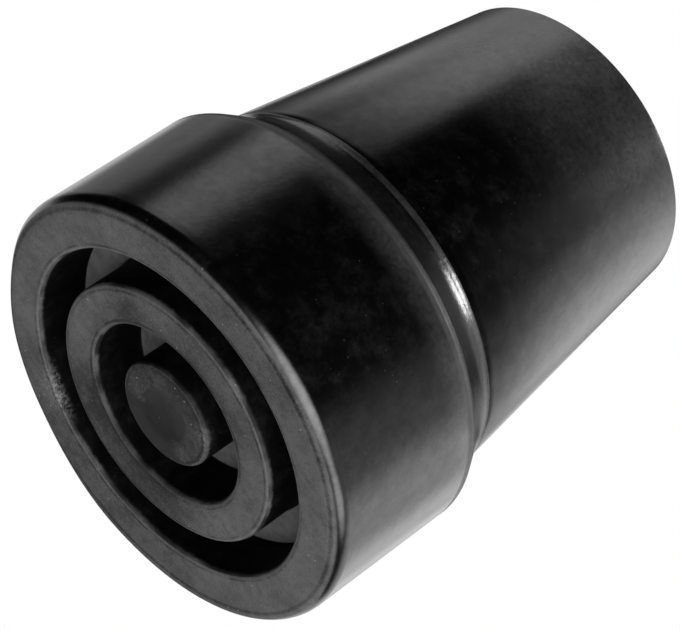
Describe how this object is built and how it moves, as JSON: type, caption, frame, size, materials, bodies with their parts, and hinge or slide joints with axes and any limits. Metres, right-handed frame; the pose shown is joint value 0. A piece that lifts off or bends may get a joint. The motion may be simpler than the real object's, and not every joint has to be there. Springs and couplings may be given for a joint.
{
  "type": "cane tip",
  "caption": "Black rubber tip for a walking cane: wide ringed tread with a round boss, straight base wall, coved shoulder, tapered neck and an open socket for the shaft.",
  "frame": {"origin": "centre of the tread, in the plane that meets the floor", "axes": "+Z along the axis, from the tread towards the mouth of the socket"},
  "size_m": [0.038, 0.038, 0.046],
  "materials": {
    "rubber": "satin moulded rubber"
  },
  "bodies": {
    "root": {"cane_tip": "rubber"}
  },
  "joints": []
}
